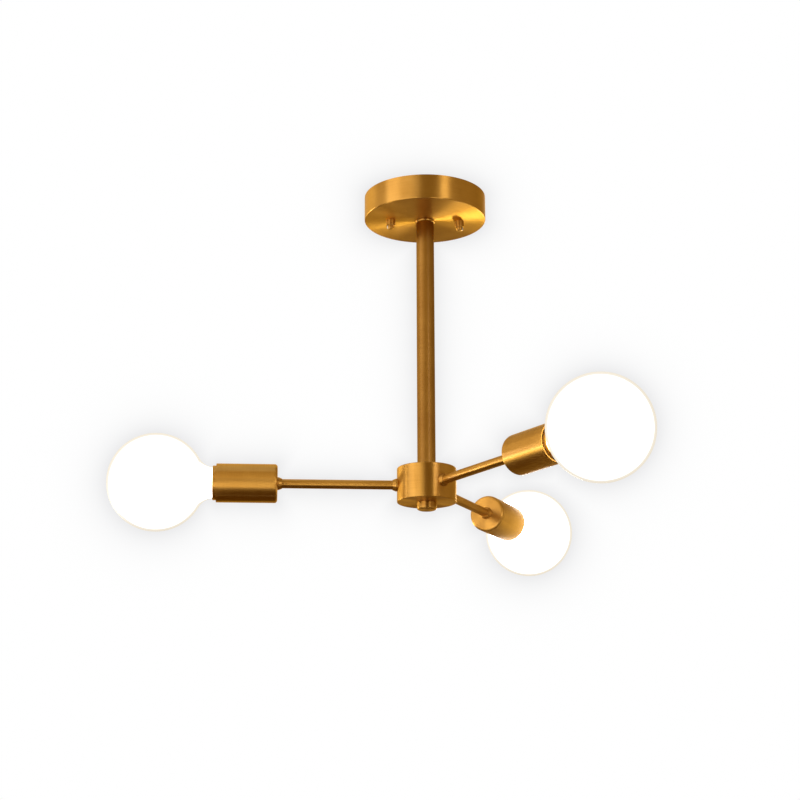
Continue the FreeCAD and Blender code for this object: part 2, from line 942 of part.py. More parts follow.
def make_bulb(side):
    """A hollow globe blends into its neck, which is crimped into the screw cap."""
    plug = cap_bore - s.fit_gap
    globe = turned_on_arm(
        f"bulb_globe_{side}",
        side,
        [
            (cap_front - s.neck_plug_length, 0),
            (cap_front - s.neck_plug_length, plug),
            (cap_front, plug),
            (cap_front, s.neck_foot_radius),
            (neck_foot, s.neck_radius),
            (bulb_centre, s.neck_radius),
            (bulb_centre, 0),
        ],
    )
    ball(globe, "PartDesign::AdditiveSphere", s.bulb_radius)
    reach = math.sqrt(s.bulb_radius.value**2 - s.neck_radius.value**2)
    rounded(globe, X, s.neck_blend, (bulb_centre.value - reach, s.neck_radius))
    ball(globe, "PartDesign::SubtractiveSphere", s.bulb_radius - s.bulb_wall)
    throat = globe.newObject("PartDesign::SubtractiveCylinder", f"{globe.Name}_throat")
    bind(throat, "Radius", s.neck_radius - s.bulb_wall)
    bind(throat, "Height", bulb_centre - neck_foot)
    throat.Placement.Rotation = Rotation(Y, HALF_TURN / 2)
    bind(throat, "Placement.Base.x", neck_foot)
    node(globe)
    make_cap(side)


def ball(body, kind, radius):
    """Adds or removes a ball at the bulb's centre."""
    made = body.newObject(kind, f"{body.Name}_ball")
    bind(made, "Radius", radius)
    bind(made, "Placement.Base.x", bulb_centre)


def make_cap(side):
    """The screw cap, its insulator and its centre tip. The round thread is drawn as rings."""
    root = s.cap_radius - s.thread_depth
    pitch = s.thread_pitch
    profile = [(cap_back, cap_bore), (cap_back, root)]
    start = cap_back + s.cap_plain_end / 2
    for ring in range(THREAD_TURNS):
        quarter = start + pitch * (ring + 0.25)
        profile += [(quarter - pitch * 0.15, root), (quarter + pitch * 0.15, s.cap_radius)]
        profile += [(quarter + pitch * 0.35, s.cap_radius), (quarter + pitch * 0.65, root)]
    profile += [(cap_front, root), (cap_front, cap_bore)]
    node(turned_on_arm(f"bulb_cap_{side}", side, profile))
    tip = bulb_tip_end + s.tip_height
    plug = cap_bore - s.fit_gap
    insulator = [
        (tip, 0),
        (tip, s.tip_radius),
        (cap_back, plug),
        (cap_back + s.insulator_plug, plug),
        (cap_back + s.insulator_plug, 0),
    ]
    node(turned_on_arm(f"bulb_insulator_{side}", side, insulator))
    radius = s.tip_radius
    corners = [(bulb_tip_end, 0), (bulb_tip_end, radius), (tip, radius), (tip, 0)]
    button = turned_on_arm(f"bulb_tip_{side}", side, corners)
    rounded(button, X, s.tip_edge, (bulb_tip_end, radius))
    node(button)


def make_leads():
    """One lead drops through the rod to the connector in the hub, and one comes from each lampholder."""
    terminal = strap_bottom.value - s.terminal_height.value / 2
    under_hub = hub_top.value
    above_block = splice_top.value + 4.5
    route = [
        Vector(terminal_near.value, 0, terminal),
        Vector(terminal_near.value / 3, 0, terminal),
        Vector(0, 0, terminal - 7.5),
        Vector(0, 0, under_hub - 6.8),
        Vector(hub_inner.value * 0.342, 0, under_hub - 12.4),
        Vector(splice_centre.value, 0, above_block),
        Vector(splice_centre.value, 0, splice_top.value),
    ]
    cord("main_lead", route, s.rod_lead_radius)
    start = holder_back + s.holder_socket
    sink = -(s.splice_below_arm + s.splice_height / 2).value
    side_face = s.splice_width.value / 2
    for side, sign in (("front", -1), ("back", 1)):
        route = [
            along_arm(side, start),
            along_arm(side, hub_inner * 0.636),
            in_hub(0.415, 0.469 * sign, -3.6),
            at_arm_height(splice_centre.value, hub_inner.value * 0.415 * sign, sink),
            at_arm_height(splice_centre.value, side_face * sign, sink),
        ]
        cord(f"arm_lead_{side}", route, s.arm_lead_radius)
    route = [
        along_arm("left", start),
        along_arm("left", hub_inner * 0.527),
        in_hub(-0.273, -0.305, -2.5),
        in_hub(0.03, -0.345, -5),
        in_hub(0.182, -0.205, sink),
        at_arm_height(splice_near.value, hub_inner.value * -0.205, sink),
    ]
    cord("arm_lead_left", route, s.arm_lead_radius)


def check_and_export():
    """Stops at any failed or empty shape, and writes each node to its own file."""
    doc.recompute()
    for thing in doc.Objects:
        if {"Invalid", "Error"} & set(thing.State):
            raise ValueError(f"{thing.Label} failed: {thing.State}")
    os.makedirs("parts", exist_ok=True)
    for name, thing in nodes.items():
        if thing.Shape.isNull() or not thing.Shape.isValid() or not thing.Shape.Solids:
            raise ValueError(f"{name} has no valid solid")
        thing.Shape.exportStep(f"parts/{name}.step")
    print(len(nodes), "nodes written")


make_strap()
make_studs()
make_earth_screw()
make_terminal_block()
make_canopy()
make_canopy_nuts()
make_rod()
make_nipples()
make_hub()
make_cover()
make_finial()
make_splice_block()
make_arm_nuts()
for arm in ARMS:
    make_arm(arm)
    make_collars(arm)
    make_cup(arm)
    make_lampholder(arm)
    make_bulb(arm)
make_leads()
check_and_export()
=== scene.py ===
import math

import bpy
from mathutils import Matrix, Vector
from mathutils.kdtree import KDTree


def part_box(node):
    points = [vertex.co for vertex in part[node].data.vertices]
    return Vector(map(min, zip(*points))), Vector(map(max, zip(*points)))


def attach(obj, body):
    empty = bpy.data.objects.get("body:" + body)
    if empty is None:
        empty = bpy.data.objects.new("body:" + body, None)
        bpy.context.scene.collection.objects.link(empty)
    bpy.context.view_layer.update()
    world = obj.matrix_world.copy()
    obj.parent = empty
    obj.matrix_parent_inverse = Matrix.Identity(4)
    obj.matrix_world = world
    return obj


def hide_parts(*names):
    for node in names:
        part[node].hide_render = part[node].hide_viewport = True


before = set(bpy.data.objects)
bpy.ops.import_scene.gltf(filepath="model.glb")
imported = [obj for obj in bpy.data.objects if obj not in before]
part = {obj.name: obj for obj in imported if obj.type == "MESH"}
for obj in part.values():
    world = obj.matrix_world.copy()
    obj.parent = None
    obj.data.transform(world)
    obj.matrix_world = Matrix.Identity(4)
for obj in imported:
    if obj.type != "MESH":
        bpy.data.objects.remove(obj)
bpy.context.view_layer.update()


# ---- Point of view
# The photographer stands below and in front of the light and looks up at it, through a long lens.
# The place and the lens were solved from the edges of the canopy, the hub, the cups and the bulbs.
# Distances are in metres.
EYE_DISTANCE = 1.61276
EYE_HEIGHT = -0.67294
EYE_BEARING = math.radians(-4.4946)
LOOK_HEADING = math.radians(3.578)
LOOK_UP = math.radians(15.875)
LOOK_ROLL = math.radians(-0.104)
FOCAL_PIXELS = 1696.01
PHOTO_PIXELS = 800

eye = bpy.data.cameras.new("photo_camera")
eye.sensor_fit = "HORIZONTAL"
eye.sensor_width = 36
eye.lens = eye.sensor_width * FOCAL_PIXELS / PHOTO_PIXELS
eye.clip_start = 0.05
eye.clip_end = 60
camera = bpy.data.objects.new("photo_camera", eye)
bpy.context.scene.collection.objects.link(camera)
stand = Vector((math.sin(EYE_BEARING) * EYE_DISTANCE, -math.cos(EYE_BEARING) * EYE_DISTANCE, EYE_HEIGHT))
turn_head = Matrix.Rotation(-LOOK_HEADING, 4, "Z")
tilt_head = Matrix.Rotation(math.pi / 2 + LOOK_UP, 4, "X")
camera.matrix_world = Matrix.Translation(stand) @ turn_head @ tilt_head @ Matrix.Rotation(LOOK_ROLL, 4, "Z")
bpy.context.scene.camera = camera


# ---- Steel fixings in the ceiling end
# Pressed crossbar, two threaded studs, lock nuts and the hollow threaded nipples that join the rod.
# All are mild steel, plated with zinc and passivated, so they look pale grey with faint cloudy colour.
# Sizes are in millimetres, here and for every piece of the light.
MM = 0.001
STUD_RADIUS = 2.0
STUD_PITCH = 0.7
NIPPLE_RADIUS = 5.0
NIPPLE_BORE = 3.8
NIPPLE_PITCH = 1.0
THREAD_DEPTH_PER_PITCH = 0.6
ROUND_STEPS = 48
STEPS_PER_PITCH = 8
ZINC_PALE = "#C9CBCC"
ZINC_CLOUD = "#B4B2A6"
ZINC_CLOUD_MM = 6.25
ZINC_GRAIN_MM = 0.4


def linear(colour):
    """An sRGB hex colour as linear red, green, blue and alpha."""
    channels = [int(colour[i:i + 2], 16) / 255 for i in (1, 3, 5)]
    return [c / 12.92 if c <= 0.04045 else ((c + 0.055) / 1.055) ** 2.4 for c in channels] + [1]


def add(tree, kind, settings=None, **sockets):
    """Adds a node, sets its properties, and fills its sockets with values or with other nodes' outputs."""
    made = tree.nodes.new(kind)
    for name, value in (settings or {}).items():
        setattr(made, name, value)
    for name, value in sockets.items():
        place = int(name[1:]) if name[1:].isdigit() else name.replace("_", " ")
        socket = made.inputs[place]
        if isinstance(value, bpy.types.NodeSocket):
            tree.links.new(value, socket)
        else:
            socket.default_value = value
    return made


def new_material(name):
    """An empty node material and its tree."""
    material = bpy.data.materials.new(name)
    material.use_nodes = True
    material.node_tree.nodes.clear()
    return material, material.node_tree


def dress(material, *nodes):
    """Gives CAD nodes a material in every one of their slots."""
    for name in nodes:
        for slot in part[name].material_slots:
            slot.material = material


def zinc_plated_steel():
    """Zinc plate: a pale metal with soft clouds, whose gloss shows the fine grain of the steel under it."""
    material, tree = new_material("zinc plated steel, clear passivated")
    where = add(tree, "ShaderNodeTexCoord").outputs["Object"]
    cloud = add(tree, "ShaderNodeTexNoise", Vector=where, Scale=1 / (ZINC_CLOUD_MM * MM),
                Detail=3, Roughness=0.6)
    grain = add(tree, "ShaderNodeTexNoise", Vector=where, Scale=1 / (ZINC_GRAIN_MM * MM),
                Detail=2, Roughness=0.5)
    colour = add(tree, "ShaderNodeMix", {"data_type": "RGBA"}, i0=cloud.outputs["Fac"],
                 i6=linear(ZINC_PALE), i7=linear(ZINC_CLOUD))
    gloss = add(tree, "ShaderNodeMapRange", Value=grain.outputs["Fac"], To_Min=0.28, To_Max=0.5)
    dents = add(tree, "ShaderNodeBump", Height=grain.outputs["Fac"], Strength=0.15, Distance=0.05 * MM)
    steel = add(tree, "ShaderNodeBsdfPrincipled", Base_Color=colour.outputs[2], Metallic=1,
                Roughness=gloss.outputs[0], Normal=dents.outputs[0])
    add(tree, "ShaderNodeOutputMaterial", Surface=steel.outputs[0])
    return material


def grid_mesh(name, rings, closed_ends, frame_at):
    """A mesh of rings of points, in millimetres.

    Its ends are closed with a flat face each ("fan"), or the last ring is joined to the first ("loop").
    """
    around = len(rings[0])
    points = [frame_at @ Vector(p) for ring in rings for p in ring]
    faces = []
    last = len(rings) if closed_ends == "loop" else len(rings) - 1
    for i in range(last):
        near, far = i * around, (i + 1) % len(rings) * around
        for k in range(around):
            nxt = (k + 1) % around
            faces.append((near + k, near + nxt, far + nxt, far + k))
    if closed_ends == "fan":
        faces.append(tuple(reversed(range(around))))
        faces.append(tuple(range((len(rings) - 1) * around, len(rings) * around)))
    mesh = bpy.data.meshes.new(name)
    mesh.from_pydata([p * MM for p in points], [], faces)
    mesh.shade_smooth()
    made = bpy.data.objects.new(name, mesh)
    bpy.context.scene.collection.objects.link(made)
    return made


def ring_at(height, radius_at):
    """One ring of points at a height, with a radius that may change with the angle."""
    turns = [2 * math.pi * k / ROUND_STEPS for k in range(ROUND_STEPS)]
    return [(radius_at(t) * math.cos(t), radius_at(t) * math.sin(t), height) for t in turns]


def thread_wave(height, angle, pitch):
    """0 at the root and 1 at the crest of a right-handed thread."""
    return 0.5 + 0.5 * math.cos(2 * math.pi * (height / pitch - angle / (2 * math.pi)))


def threaded_rings(start, end, crest, depth, pitch):
    """Rings of a thread whose first and last turn run out to the root."""
    count = max(4, round((end - start) / pitch * STEPS_PER_PITCH))
    rings = []
    for i in range(count + 1):
        height = start + (end - start) * i / count
        full = min(1, (height - start) / pitch, (end - height) / pitch)
        rings.append(ring_at(height, lambda t, h=height, f=full:
                             crest - depth * (1 - f * thread_wave(h, t, pitch))))
    return rings


steel = zinc_plated_steel()
dress(steel, "crossbar", "stud_locknuts", "rod_locknuts", "arm_locknuts")

low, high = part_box("mounting_studs")
for side, across in (("left", low.x / MM + STUD_RADIUS), ("right", high.x / MM - STUD_RADIUS)):
    stud = grid_mesh(
        f"threaded_stud_{side}",
        threaded_rings(low.z / MM, high.z / MM, STUD_RADIUS, STUD_PITCH * THREAD_DEPTH_PER_PITCH, STUD_PITCH),
        "fan", Matrix.Translation((across, 0, 0)))
    stud.data.materials.append(steel)
    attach(stud, "fixture")
    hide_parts("mounting_studs")

for name in ("rod_nipple", "hub_nipple"):
    low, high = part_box(name)
    outside = threaded_rings(low.z / MM, high.z / MM, NIPPLE_RADIUS, NIPPLE_PITCH * THREAD_DEPTH_PER_PITCH,
                             NIPPLE_PITCH)
    bore = [ring_at(height / MM, lambda t: NIPPLE_BORE) for height in (high.z, low.z)]
    nipple = grid_mesh(f"threaded_{name}", outside + bore, "loop", Matrix.Identity(4))
    nipple.data.materials.append(steel)
    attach(nipple, "fixture")
    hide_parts(name)


# ---- Earth screw
# A small pan head screw in the crossbar for the earth wire, marked by its green enamel.
# The enamel is dipped, so it is smooth and a little uneven.
ENAMEL_GREEN = "#1E6A36"
ENAMEL_DEEP = "#17512B"
ENAMEL_RUN_MM = 2.5

enamel, tree = new_material("green enamel on steel, dipped")
where = add(tree, "ShaderNodeTexCoord").outputs["Object"]
runs = add(tree, "ShaderNodeTexNoise", Vector=where, Scale=1 / (ENAMEL_RUN_MM * MM), Detail=2)
colour = add(tree, "ShaderNodeMix", {"data_type": "RGBA"}, i0=runs.outputs["Fac"],
             i6=linear(ENAMEL_GREEN), i7=linear(ENAMEL_DEEP))
waves = add(tree, "ShaderNodeBump", Height=runs.outputs["Fac"], Strength=0.2, Distance=0.1 * MM)
gloss = add(tree, "ShaderNodeBsdfPrincipled", Base_Color=colour.outputs[2], Roughness=0.3,
            Normal=waves.outputs[0])
add(tree, "ShaderNodeOutputMaterial", Surface=gloss.outputs[0])
dress(enamel, "ground_screw")


# ---- Terminal blocks
# The block in the canopy for the house wires and the connector in the hub.
# Both are moulded nylon: off white, softly glossy, with the fine even texture of a spark eroded mould.
NYLON = "#E7E4DA"
NYLON_SHADE = "#DAD6C9"
FLOW_MM = 11.111


def moulded_plastic(name, light, shade, roughness, texture_mm):
    """A moulded plastic: two close tones where the melt has flowed, and the fine texture of the mould."""
    material, tree = new_material(name)
    where = add(tree, "ShaderNodeTexCoord").outputs["Object"]
    tone = add(tree, "ShaderNodeTexNoise", Vector=where, Scale=1 / (FLOW_MM * MM), Detail=3)
    pores = add(tree, "ShaderNodeTexNoise", Vector=where, Scale=1 / (texture_mm * MM), Detail=2)
    colour = add(tree, "ShaderNodeMix", {"data_type": "RGBA"}, i0=tone.outputs["Fac"],
                 i6=linear(light), i7=linear(shade))
    sheen = add(tree, "ShaderNodeMapRange", Value=pores.outputs["Fac"],
                To_Min=roughness - 0.08, To_Max=roughness + 0.08)
    skin = add(tree, "ShaderNodeBump", Height=pores.outputs["Fac"], Strength=0.2, Distance=0.03 * MM)
    plastic = add(tree, "ShaderNodeBsdfPrincipled", Base_Color=colour.outputs[2], IOR=1.53,
                  Roughness=sheen.outputs[0], Normal=skin.outputs[0])
    add(tree, "ShaderNodeOutputMaterial", Surface=plastic.outputs[0])
    return material


dress(moulded_plastic("white nylon, moulded", NYLON, NYLON_SHADE, 0.45, 0.5), "terminal_block", "splice_block")


# ---- Leads
# White sheathed leads: one from the canopy down the rod, and one from each lampholder through its arm.
# The sheath is soft PVC, extruded, so it has a dull gloss and faint lengthwise unevenness.
SHEATH = "#E2E0D8"
SHEATH_SHADE = "#D3D0C6"

dress(moulded_plastic("white PVC sheath, extruded", SHEATH, SHEATH_SHADE, 0.5, 0.8),
      "main_lead", "arm_lead_left", "arm_lead_front", "arm_lead_back")


# ---- Canopy
# A shallow cup spun from brass sheet, brushed on the lathe and lacquered.
# The abrasive leaves fine rings round the rod's axis, so the flat floor shows bright fans of light.
BRASS = "#BE8E42"
BRASS_DEEP = "#AA7A32"
BRASS_EDGE = "#FFE6B0"
RUB_MM = 0.7
CLOUD_MM = 28
RING_SHARE = 0.35
GLOSSY_RING = 0.34
DULL_RING = 0.42


def brushed_brass(name, centre, axis, colours=(BRASS, BRASS_DEEP), shine_turn=0.25):
    """Brass brushed while it turned about an axis, under clear lacquer.

    The rings are 0.1 mm apart on the real light. They are drawn 0.7 mm apart here, so that they show.
    A shine turn of 0.25 stretches the shine across the rings, and one of 0 stretches it along them. The
    lacquer adds a thin clear shine of its own.
    """
    material, tree = new_material(name)
    where = add(tree, "ShaderNodeTexCoord").outputs["Object"]
    from_centre = add(tree, "ShaderNodeVectorMath", {"operation": "SUBTRACT"}, i0=where, i1=centre).outputs[0]
    height = add(tree, "ShaderNodeVectorMath", {"operation": "DOT_PRODUCT"}, i0=from_centre, i1=axis).outputs[1]
    along = add(tree, "ShaderNodeVectorMath", {"operation": "SCALE"}, i0=axis, Scale=height).outputs[0]
    out = add(tree, "ShaderNodeVectorMath", {"operation": "SUBTRACT"}, i0=from_centre, i1=along).outputs[0]
    radius = add(tree, "ShaderNodeVectorMath", {"operation": "LENGTH"}, i0=out).outputs[1]
    outward = add(tree, "ShaderNodeVectorMath", {"operation": "NORMALIZE"}, i0=out).outputs[0]
    round_it = add(tree, "ShaderNodeVectorMath", {"operation": "CROSS_PRODUCT"}, i0=axis, i1=outward).outputs[0]
    run = add(tree, "ShaderNodeMath", {"operation": "ADD"}, i0=height, i1=radius).outputs[0]
    lines = add(tree, "ShaderNodeMath", {"operation": "MULTIPLY"}, i0=run, i1=1 / (RUB_MM * MM)).outputs[0]
    stack = add(tree, "ShaderNodeVectorMath", {"operation": "SCALE"}, i0=axis, Scale=lines).outputs[0]
    spun = add(tree, "ShaderNodeVectorMath", {"operation": "ADD"}, i0=stack, i1=outward).outputs[0]
    rings = add(tree, "ShaderNodeTexNoise", Vector=spun, Scale=1, Detail=3, Roughness=0.7).outputs["Fac"]
    cloud = add(tree, "ShaderNodeTexNoise", Vector=where, Scale=1 / (CLOUD_MM * MM), Detail=3).outputs["Fac"]
    tone = add(tree, "ShaderNodeMix", {"data_type": "FLOAT"}, i0=RING_SHARE, i2=cloud, i3=rings).outputs[0]
    mix = add(tree, "ShaderNodeMapRange", Value=tone, From_Min=0.3, From_Max=0.7).outputs[0]
    colour = add(tree, "ShaderNodeMix", {"data_type": "RGBA"}, i0=mix,
                 i6=linear(colours[0]), i7=linear(colours[1])).outputs[2]
    gloss = add(tree, "ShaderNodeMapRange", Value=rings, From_Min=0.25, From_Max=0.75,
                To_Min=GLOSSY_RING, To_Max=DULL_RING).outputs[0]
    grooves = add(tree, "ShaderNodeBump", Height=rings, Strength=0.12, Distance=0.05 * MM).outputs[0]
    brass = add(tree, "ShaderNodeBsdfPrincipled", Base_Color=colour, Metallic=1, Roughness=gloss,
                Specular_Tint=linear(BRASS_EDGE), Anisotropic=0.9, Anisotropic_Rotation=shine_turn,
                Tangent=round_it, Normal=grooves, Coat_Weight=0.15, Coat_Roughness=0.2)
    add(tree, "ShaderNodeOutputMaterial", Surface=brass.outputs[0])
    return material


UP = (0, 0, 1)
rod_brass = brushed_brass("brushed brass, turned about the rod", (0, 0, 0), UP)
dress(rod_brass, "canopy")


# ---- Canopy barrels and cap nuts
# On each stud a plain brass barrel stands against the canopy, held by a small domed cap nut.
# They are turned from bar, so their rings run round the stud.
for side in ("left", "right"):
    low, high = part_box(f"canopy_barrel_{side}")
    stud_brass = brushed_brass(f"brushed brass, turned about the {side} stud", ((low.x + high.x) / 2, 0, 0), UP)
    dress(stud_brass, f"canopy_barrel_{side}", f"canopy_cap_nut_{side}")


# ---- Rod, hub and finial
# A seamless brass tube with a rounded collar at its top, a drum with its cover plate, and a turned knob.
# All but the tube are brushed while they turn, like the canopy. The tube is drawn, so its shine runs round it.
# The tube's brass is painted darker than that of the turned parts, as painted shade.
TUBE_BRASS_SHADED = "#92682A"
TUBE_BRASS_SHADED_DEEP = "#82581E"

dress(rod_brass, "rod_collar", "hub_body", "hub_cover", "finial")
tube_brass = brushed_brass("brushed brass tube, drawn", (0, 0, 0), UP, (TUBE_BRASS_SHADED, TUBE_BRASS_SHADED_DEEP),
                           shine_turn=0)
dress(tube_brass, "down_rod")


# ---- Arms and socket cups
# Three level arms of brass tube, each with a small turned collar at both ends, a drawn cup and a ring.
# Each arm's parts were brushed while they turned about the arm, so each arm has its own rings.
# Their bearings are in degrees from the light's right, and 90 degrees points away from the photographer.
ARM_HEIGHT = -301.0
ARMS = {"left": 180, "front": 300, "back": 60}


def arm_frame(side):
    """Carries a point from an arm's own axes to the light: its z runs out along the arm and its x points up."""
    bearing = math.radians(ARMS[side])
    out = Vector((math.cos(bearing), math.sin(bearing), 0))
    up = Vector((0, 0, 1))
    across = out.cross(up)
    turned = Matrix((up, across, out)).transposed().to_4x4()
    return Matrix.Translation((0, 0, ARM_HEIGHT)) @ turned


for side in ARMS:
    out = arm_frame(side).to_3x3() @ Vector((0, 0, 1))
    arm_brass = brushed_brass(f"brushed brass, turned about the {side} arm",
                              (0, 0, ARM_HEIGHT * MM), tuple(out))
    dress(arm_brass, f"arm_tube_{side}", f"hub_collar_{side}", f"cup_collar_{side}", f"socket_cup_{side}",
          f"socket_ring_{side}")


# ---- Lampholders
# A black moulded phenolic body in each cup, with a stamped brass screw shell and a sprung centre contact.
# Phenolic is dense and half glossy. The shell's thread is rolled, and it matches the bulb's thread.
PHENOLIC = "#1B1917"
PHENOLIC_SHADE = "#12110F"
CONTACT = "#C9A760"
CONTACT_DULL = "#A98848"
LAMP_PITCH = 3.629
SHELL_START = 173.0
SHELL_END = 198.0
SHELL_THREAD_END = 193.5
SHELL_GROOVE = 13.3
SHELL_DEPTH = 0.8
SHELL_METAL = 0.3
SHELL_STEP = 0.45
FILM_MM = 4.5455


def soft_metal(name, bright, dull, roughness, grain_mm):
    """A plain sheet metal with a dull film over part of it and a fine rolled grain."""
    material, tree = new_material(name)
    where = add(tree, "ShaderNodeTexCoord").outputs["Object"]
    film = add(tree, "ShaderNodeTexNoise", Vector=where, Scale=1 / (FILM_MM * MM), Detail=4)
    grain = add(tree, "ShaderNodeTexNoise", Vector=where, Scale=1 / (grain_mm * MM), Detail=2)
    colour = add(tree, "ShaderNodeMix", {"data_type": "RGBA"}, i0=film.outputs["Fac"],
                 i6=linear(bright), i7=linear(dull))
    gloss = add(tree, "ShaderNodeMapRange", Value=film.outputs["Fac"],
                To_Min=roughness - 0.1, To_Max=roughness + 0.12)
    rolled = add(tree, "ShaderNodeBump", Height=grain.outputs["Fac"], Strength=0.15, Distance=0.05 * MM)
    metal = add(tree, "ShaderNodeBsdfPrincipled", Base_Color=colour.outputs[2], Metallic=1,
                Roughness=gloss.outputs[0], Normal=rolled.outputs[0])
    add(tree, "ShaderNodeOutputMaterial", Surface=metal.outputs[0])
    return material


phenolic = moulded_plastic("black phenolic, moulded", PHENOLIC, PHENOLIC_SHADE, 0.32, 0.6)
contact_brass = soft_metal("contact brass, stamped", CONTACT, CONTACT_DULL, 0.35, 0.4)


def shell_inside(height, angle):
    """Radius of the inside of the screw shell."""
    wave = thread_wave(height, angle, LAMP_PITCH)
    full = max(0, min(1, (height - SHELL_START) / LAMP_PITCH, (SHELL_THREAD_END - height) / LAMP_PITCH))
    return SHELL_GROOVE - SHELL_DEPTH * full * (1 - wave)


for side in ARMS:
    dress(phenolic, f"lampholder_{side}")
    dress(contact_brass, f"centre_contact_{side}")
    count = round((SHELL_END - SHELL_START) / SHELL_STEP)
    heights = [SHELL_START + (SHELL_END - SHELL_START) * i / count for i in range(count + 1)]
    inside = [ring_at(h, lambda t, h=h: shell_inside(h, t)) for h in heights]
    outside = [ring_at(h, lambda t, h=h: shell_inside(h, t) + SHELL_METAL) for h in reversed(heights)]
    shell = grid_mesh(f"rolled_shell_{side}", inside + outside, "loop", arm_frame(side))
    shell.data.flip_normals()
    shell.data.materials.append(contact_brass)
    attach(shell, "fixture")
    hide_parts(f"screw_shell_{side}")


# ---- Bulbs
# Opal globe bulbs, lit warm white: a blown glass globe with a white coat inside, on a rolled aluminium cap.
# The light falls off where the glass turns away, so a thin cream rim shows round each globe.
# The cap's end is sealed with black glass and carries a drop of solder.
OPAL = "#FFFDF8"
LAMP_GLOW = "#FFF8EC"
RIM_GLOW = "#FFF8EC"
RIM_SHADE = "#E8DCC4"
UNLIT = "#3F3F3F"
GLOW = 8.0
GLOW_AT_RIM = 0.82
RIM_START = 0.5
RIM_END = 0.72
HAZE_MM = 28.571
ALUMINIUM = "#D2D2D0"
ALUMINIUM_DULL = "#B4B4B1"
SEAL = "#0D0D0F"
SEAL_SHADE = "#17171A"
SOLDER = "#B5B3AD"
SOLDER_DULL = "#918F8A"
CAP_START = 177.0
CAP_END = 199.0
CAP_THREAD_END = 195.0
CAP_CREST = 13.05
CAP_DEPTH = 0.85
CAP_BORE = 11.8
CAP_STEP = 0.45

opal, tree = new_material("opal glass, lit")
where = add(tree, "ShaderNodeTexCoord").outputs["Object"]
haze = add(tree, "ShaderNodeTexNoise", Vector=where, Scale=1 / (HAZE_MM * MM), Detail=2).outputs["Fac"]
coat = add(tree, "ShaderNodeMix", {"data_type": "RGBA"}, i0=haze,
           i6=linear(OPAL), i7=linear(LAMP_GLOW)).outputs[2]
slant = add(tree, "ShaderNodeLayerWeight", Blend=0.5).outputs["Facing"]
rim = add(tree, "ShaderNodeMapRange", {"interpolation_type": "SMOOTHSTEP"}, Value=slant,
          From_Min=RIM_START, From_Max=RIM_END).outputs[0]
edge = add(tree, "ShaderNodeMapRange", Value=slant, From_Min=RIM_END, From_Max=1).outputs[0]
shine = add(tree, "ShaderNodeMix", {"data_type": "RGBA"}, i0=rim, i6=coat, i7=linear(RIM_GLOW)).outputs[2]
shine = add(tree, "ShaderNodeMix", {"data_type": "RGBA"}, i0=edge, i6=shine, i7=linear(RIM_SHADE)).outputs[2]
power = add(tree, "ShaderNodeMapRange", Value=rim, To_Min=GLOW, To_Max=GLOW_AT_RIM).outputs[0]
globe = add(tree, "ShaderNodeBsdfPrincipled", Base_Color=linear(UNLIT), Roughness=0.5, IOR=1.5,
            Emission_Color=shine, Emission_Strength=power)
add(tree, "ShaderNodeOutputMaterial", Surface=globe.outputs[0])

aluminium = soft_metal("aluminium, rolled", ALUMINIUM, ALUMINIUM_DULL, 0.32, 0.4)
seal_glass = moulded_plastic("black seal glass, pressed", SEAL, SEAL_SHADE, 0.15, 1.5)
solder = soft_metal("solder, melted", SOLDER, SOLDER_DULL, 0.4, 0.8)


def cap_outside(height, angle):
    """Radius of the outside of a bulb's cap."""
    wave = thread_wave(height, angle, LAMP_PITCH)
    into_thread = min(1, (height - CAP_START) / LAMP_PITCH)
    skirt = max(0, min(1, (height - CAP_THREAD_END + LAMP_PITCH) / LAMP_PITCH))
    wavy = CAP_CREST - CAP_DEPTH * (1 - into_thread * wave)
    return wavy + (CAP_CREST - wavy) * skirt


for side in ARMS:
    dress(opal, f"bulb_globe_{side}")
    dress(seal_glass, f"bulb_insulator_{side}")
    dress(solder, f"bulb_tip_{side}")
    count = round((CAP_END - CAP_START) / CAP_STEP)
    heights = [CAP_START + (CAP_END - CAP_START) * i / count for i in range(count + 1)]
    outside = [ring_at(h, lambda t, h=h: cap_outside(h, t)) for h in heights]
    bore = [ring_at(h, lambda t: CAP_BORE) for h in (CAP_END, CAP_START)]
    cap = grid_mesh(f"rolled_cap_{side}", outside + bore, "loop", arm_frame(side))
    cap.data.materials.append(aluminium)
    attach(cap, f"bulb_{side}")
    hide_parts(f"bulb_cap_{side}")


# ---- Floor
# A plain pale painted floor, a room's height below the ceiling.
# The photographer looks up past it, so only views from above show it. Sizes of the stage are in metres.
FLOOR_HEIGHT = -2.4
FLOOR_HALF = 6.0
PALE = "#F2F2F0"
PALE_SHADE = "#EFEFEE"
MOTTLE_MM = 333.33


def stage_mesh(name, points, faces, material):
    """A piece of the stage."""
    mesh = bpy.data.meshes.new(name)
    mesh.from_pydata(points, [], faces)
    mesh.materials.append(material)
    made = bpy.data.objects.new(name, mesh)
    bpy.context.scene.collection.objects.link(made)
    return made


paint, tree = new_material("pale floor paint")
where = add(tree, "ShaderNodeTexCoord").outputs["Object"]
mottle = add(tree, "ShaderNodeTexNoise", Vector=where, Scale=1 / (MOTTLE_MM * MM), Detail=2).outputs["Fac"]
colour = add(tree, "ShaderNodeMix", {"data_type": "RGBA"}, i0=mottle,
             i6=linear(PALE), i7=linear(PALE_SHADE)).outputs[2]
matt = add(tree, "ShaderNodeBsdfPrincipled", Base_Color=colour, Roughness=0.8)
add(tree, "ShaderNodeOutputMaterial", Surface=matt.outputs[0])
corners = [(FLOOR_HALF * x, FLOOR_HALF * y, FLOOR_HEIGHT) for x, y in ((-1, -1), (1, -1), (1, 1), (-1, 1))]
stage_mesh("floor", corners, [(0, 1, 2, 3)], paint)
